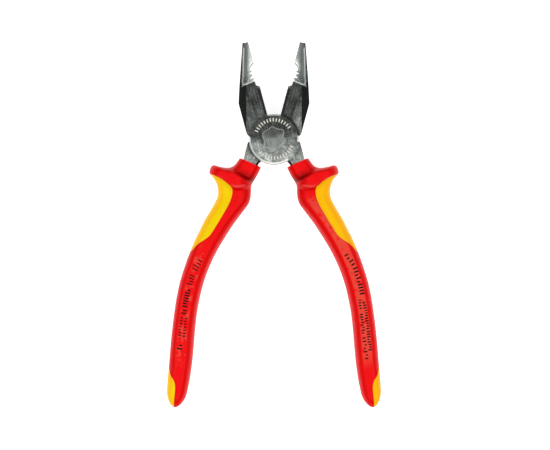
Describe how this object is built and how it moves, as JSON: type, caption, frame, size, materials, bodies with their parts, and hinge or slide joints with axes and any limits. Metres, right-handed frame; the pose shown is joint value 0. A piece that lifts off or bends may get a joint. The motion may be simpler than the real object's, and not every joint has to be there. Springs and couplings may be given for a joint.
{
  "type": "insulated combination pliers",
  "caption": "Lineman-style combination pliers with flat and pipe jaws, side blades, a riveted lap joint and insulated guard handles.",
  "frame": {"origin": "on the joint rivet's axis at the back face of the head", "axes": "+Y to the jaw tips, +Z out of the front face along the rivet, +X to the right; jaws stand half open"},
  "size_m": [0.106, 0.1799, 0.021],
  "materials": {
    "lever_steel": "ground and polished forged tool steel",
    "rivet_steel": "ground flush with the joint face",
    "core_insulation": "moulded, hidden",
    "grip_red": "semi-gloss moulded elastomer",
    "inlay_yellow": "semi-gloss moulded elastomer"
  },
  "bodies": {
    "front_half": {"front_lever": "lever_steel", "joint_rivet": "rivet_steel", "right_core_sleeve": "core_insulation", "right_grip_shell": "grip_red", "right_upper_inlay": "inlay_yellow", "right_tail_inlay": "inlay_yellow"},
    "back_half": {"back_lever": "lever_steel", "left_core_sleeve": "core_insulation", "left_grip_shell": "grip_red", "left_upper_inlay": "inlay_yellow", "left_tail_inlay": "inlay_yellow"}
  },
  "joints": [
    {"name": "jaw_pivot", "type": "hinge", "parent": "front_half", "child": "back_half", "pos_m": [0, 0, 0.00525], "axis": [0, 0, -1], "range_deg": [-29.6, 13]}
  ]
}
